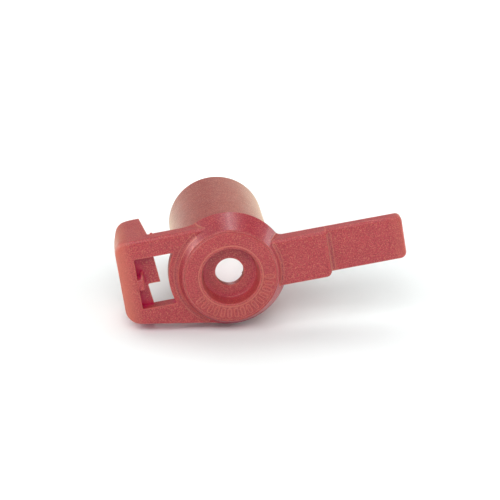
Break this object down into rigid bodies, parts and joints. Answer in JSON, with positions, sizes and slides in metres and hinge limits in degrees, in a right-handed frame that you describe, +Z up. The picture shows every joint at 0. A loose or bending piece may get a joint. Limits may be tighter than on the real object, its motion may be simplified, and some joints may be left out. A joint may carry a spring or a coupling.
{
  "type": "irrigation emitter nozzle",
  "caption": "Twist-lock irrigation emitter: conical head with a centre orifice, a flat lever, a windowed locking arm with a hook behind it, and a plain barrel that plugs in.",
  "frame": {"origin": "middle of the underside of the box around the part, on the surface that it rests on", "axes": "+X to the right of the face, towards the lever; +Y from the face to the back; +Z up. The part lies as it rests: its barrel dips 6.07 degrees towards the rear, and its head is rolled 9 degrees about the barrel so that the lever rises"},
  "size_m": [0.0382, 0.0234, 0.0157],
  "materials": {
    "glossy_red_plastic": "glossy moulded red acetal",
    "satin_red_plastic": "finely grained moulded red acetal",
    "pale_red_plastic": "matt, slightly translucent thin-walled red moulding",
    "black_rubber": "matt black sealing rubber",
    "spring_steel": "stainless spring steel"
  },
  "bodies": {
    "barrel": {"barrel": "pale_red_plastic"},
    "head": {"hub_body": "glossy_red_plastic", "face_ring": "satin_red_plastic", "orifice_insert": "satin_red_plastic", "orifice_seal": "black_rubber", "barrel_seal": "black_rubber", "snap_ring": "spring_steel", "stream_straightener": "satin_red_plastic", "locking_arm": "satin_red_plastic", "locking_hook": "satin_red_plastic", "detent_peg": "satin_red_plastic", "lever_arm": "satin_red_plastic", "lever_grip": "satin_red_plastic"}
  },
  "joints": [
    {"name": "head_twist", "type": "hinge", "parent": "barrel", "child": "head", "pos_m": [-0.00423, -0.00782, 0.00785], "axis": [0, 0.9944, -0.1057], "range_deg": [0, 60]}
  ]
}
